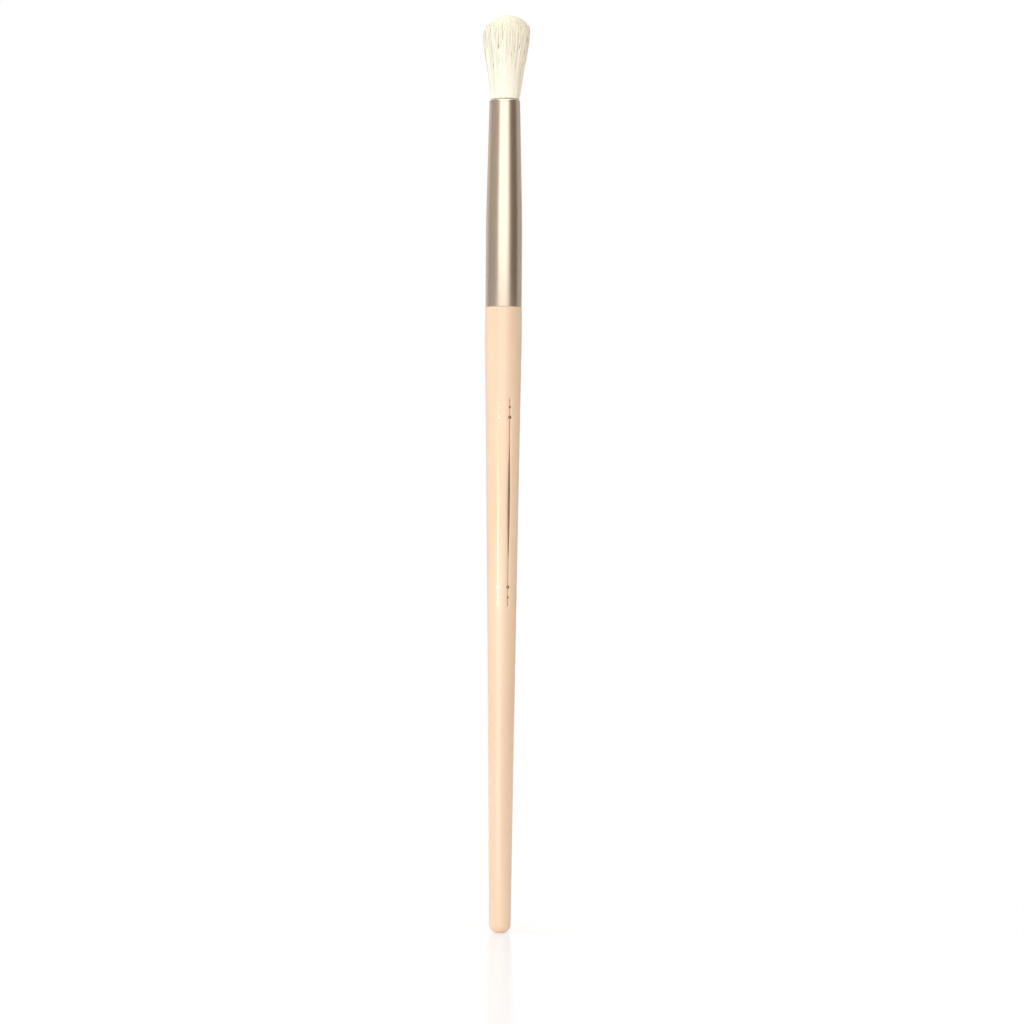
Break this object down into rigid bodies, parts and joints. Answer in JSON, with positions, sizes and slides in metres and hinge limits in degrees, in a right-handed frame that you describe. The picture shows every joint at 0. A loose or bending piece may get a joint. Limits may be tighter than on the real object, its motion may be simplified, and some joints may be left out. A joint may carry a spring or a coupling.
{
  "type": "eyeshadow brush",
  "caption": "Slim round eyeshadow brush: a domed head of soft hair, tied and glued in a tapered metal ferrule, on a long lacquered wooden handle that narrows to a rounded tail.",
  "frame": {"origin": "centre of the small flat at the tail end of the handle", "axes": "+Z runs along the brush's axis from the tail to the hair; the brush is round, and -Y faces the camera of the reference view"},
  "size_m": [0.0092, 0.0092, 0.18],
  "materials": {
    "handle_lacquer": "satin nude-beige lacquer over hardwood",
    "ferrule_metal": "satin champagne anodised",
    "hair": "soft cream hair",
    "glue": "cured clear amber glue",
    "thread": "waxed thread"
  },
  "bodies": {
    "root": {"handle": "handle_lacquer", "ferrule": "ferrule_metal", "hair_tuft": "hair", "root_glue": "glue", "tenon_glue": "glue", "tie_thread": "thread"}
  },
  "joints": []
}
